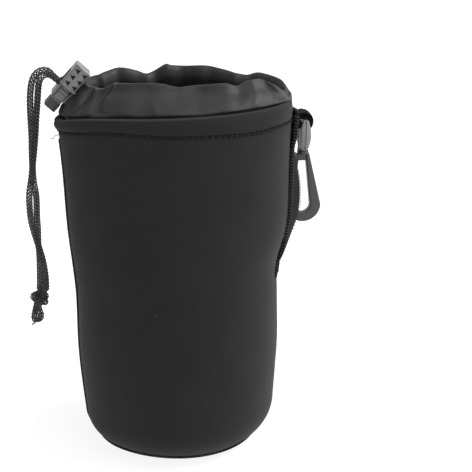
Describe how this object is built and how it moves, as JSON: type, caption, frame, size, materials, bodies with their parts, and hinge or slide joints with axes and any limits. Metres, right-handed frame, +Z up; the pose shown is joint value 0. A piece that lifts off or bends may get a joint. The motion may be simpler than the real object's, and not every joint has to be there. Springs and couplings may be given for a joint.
{
  "type": "drawstring lens pouch",
  "caption": "Soft round pouch with a foam body, drawstring collar, cord lock, belt strap and swivel hook.",
  "frame": {"origin": "centre of the flat underside of the base panel, on the surface it stands on", "axes": "+Z up out of the mouth, -Y towards the front face, +X towards the belt strap"},
  "size_m": [0.142, 0.0887, 0.1849],
  "materials": {
    "foam": "matte foam rubber with a knitted face",
    "nylon": "thin coated nylon",
    "webbing": "ribbed webbing",
    "thread": "matte thread",
    "cord": "loose braid",
    "plastic": "moulded, satin",
    "plastic_dark": "moulded, satin",
    "steel": "bright wire",
    "hook_metal": "grey, satin"
  },
  "bodies": {
    "pouch": {"front_panel": "foam", "back_panel": "foam", "base_panel": "foam", "left_side_seam": "thread", "right_side_seam": "thread", "base_seam": "thread", "hem_stitching": "thread", "collar": "nylon", "drawcord_loop": "cord", "cord_strand_front": "cord", "cord_strand_back": "cord", "cord_knot": "cord", "belt_strap": "webbing", "strap_tack_top": "thread", "strap_tack_bottom": "thread", "hook_tab": "webbing", "tab_tack": "thread"},
    "lock": {"cord_lock_barrel": "plastic", "cord_lock_spring": "steel"},
    "plunger": {"cord_lock_plunger": "plastic_dark"},
    "eye": {"hook_eye": "hook_metal"},
    "hook": {"hook_body": "hook_metal", "gate_pin": "steel", "gate_spring": "steel"},
    "gate": {"hook_gate": "hook_metal"}
  },
  "joints": [
    {"name": "lock_slide", "type": "slide", "parent": "pouch", "child": "lock", "axis": [-0.7373, 0, 0.6756], "range_m": [0, 0.0025]},
    {"name": "plunger_press", "type": "slide", "parent": "lock", "child": "plunger", "axis": [0.6756, 0, 0.7373], "range_m": [0, 0.0017], "stiffness_N_per_m": 3000, "springref_m": -0.001, "deforming": ["cord_lock_spring"]},
    {"name": "eye_swing", "type": "hinge", "parent": "pouch", "child": "eye", "pos_m": [0.06096, 0.01759, 0.1524], "axis": [-0.0523, -0.9986, 0], "range_deg": [-8, 95]},
    {"name": "hook_swivel", "type": "hinge", "parent": "eye", "child": "hook", "pos_m": [0.06096, 0.01759, 0.1379], "axis": [0, 0, 1], "continuous": true},
    {"name": "gate_open", "type": "hinge", "parent": "hook", "child": "gate", "pos_m": [0.05736, 0.01759, 0.1344], "axis": [0, -1, 0], "range_deg": [0, 20], "stiffness_Nm_per_rad": 0.01, "springref_deg": -11.46}
  ]
}
